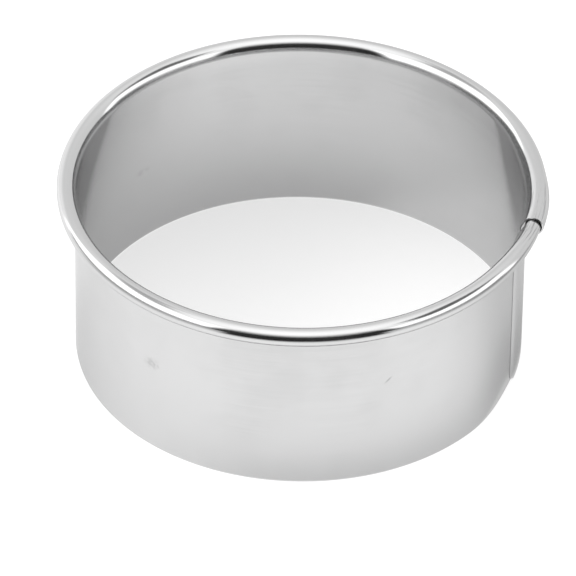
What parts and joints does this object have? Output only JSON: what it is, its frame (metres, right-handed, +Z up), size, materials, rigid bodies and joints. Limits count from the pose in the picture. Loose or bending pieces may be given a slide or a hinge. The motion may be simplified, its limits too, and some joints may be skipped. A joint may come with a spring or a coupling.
{
  "type": "round dough cutter",
  "caption": "Open ring of thin steel sheet with a hollow rolled bead round the top and a plain cutting edge below, for stamping rounds out of rolled dough.",
  "frame": {"origin": "on the ring's axis, in the plane of the cutting edge", "axes": "+Z up along the ring's axis from the cutting edge to the rolled bead, +X towards the side of the lapped seam"},
  "size_m": [0.0853, 0.085, 0.0352],
  "materials": {
    "steel_wall": "bright cold-rolled stainless sheet with a faint rolling grain",
    "steel_rim": "stainless sheet drawn smooth by the rolling of the bead",
    "weld_nugget": "dull fused steel"
  },
  "bodies": {
    "root": {"cutter_band": "steel_wall", "rolled_rim": "steel_rim", "seam_spot_weld_lower": "weld_nugget", "seam_spot_weld_middle": "weld_nugget", "seam_spot_weld_upper": "weld_nugget"}
  },
  "joints": []
}
